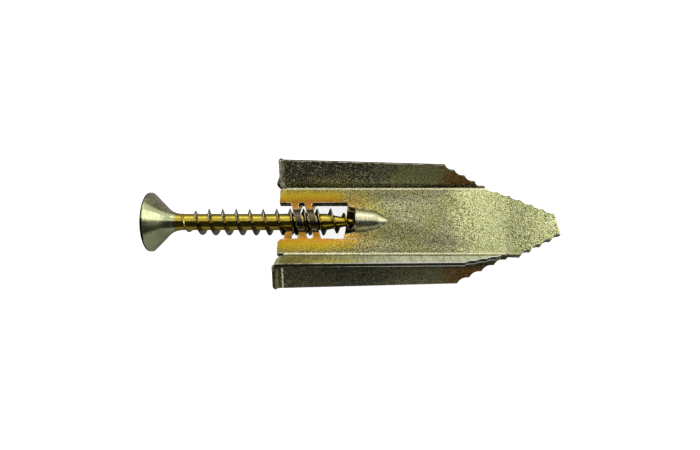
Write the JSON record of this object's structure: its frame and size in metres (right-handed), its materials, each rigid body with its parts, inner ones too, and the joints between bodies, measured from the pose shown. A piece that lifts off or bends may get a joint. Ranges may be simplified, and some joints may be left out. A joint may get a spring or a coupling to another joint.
{
  "type": "self-drilling drywall anchor",
  "caption": "Folded sheet-steel drywall anchor with a toothed point, folded fins and straps that hold a countersunk screw by its thread.",
  "frame": {"origin": "on the screw's axis, in the plane of the rear ends of the anchor's web", "axes": "+X along the screw towards the toothed tip, +Z square to the flat web, on the front leaf's side, +Y towards the upper fins"},
  "size_m": [0.0604, 0.0192, 0.0086],
  "materials": {
    "anchor_zinc": "yellow-passivated zinc on sheet steel",
    "screw_zinc": "yellow-passivated zinc on steel"
  },
  "bodies": {
    "anchor": {"anchor": "anchor_zinc"},
    "screw": {"screw": "screw_zinc"}
  },
  "joints": [
    {"name": "screw_drive", "type": "slide", "parent": "anchor", "child": "screw", "axis": [1, 0, 0], "range_m": [-0.01188, 0]}
  ]
}
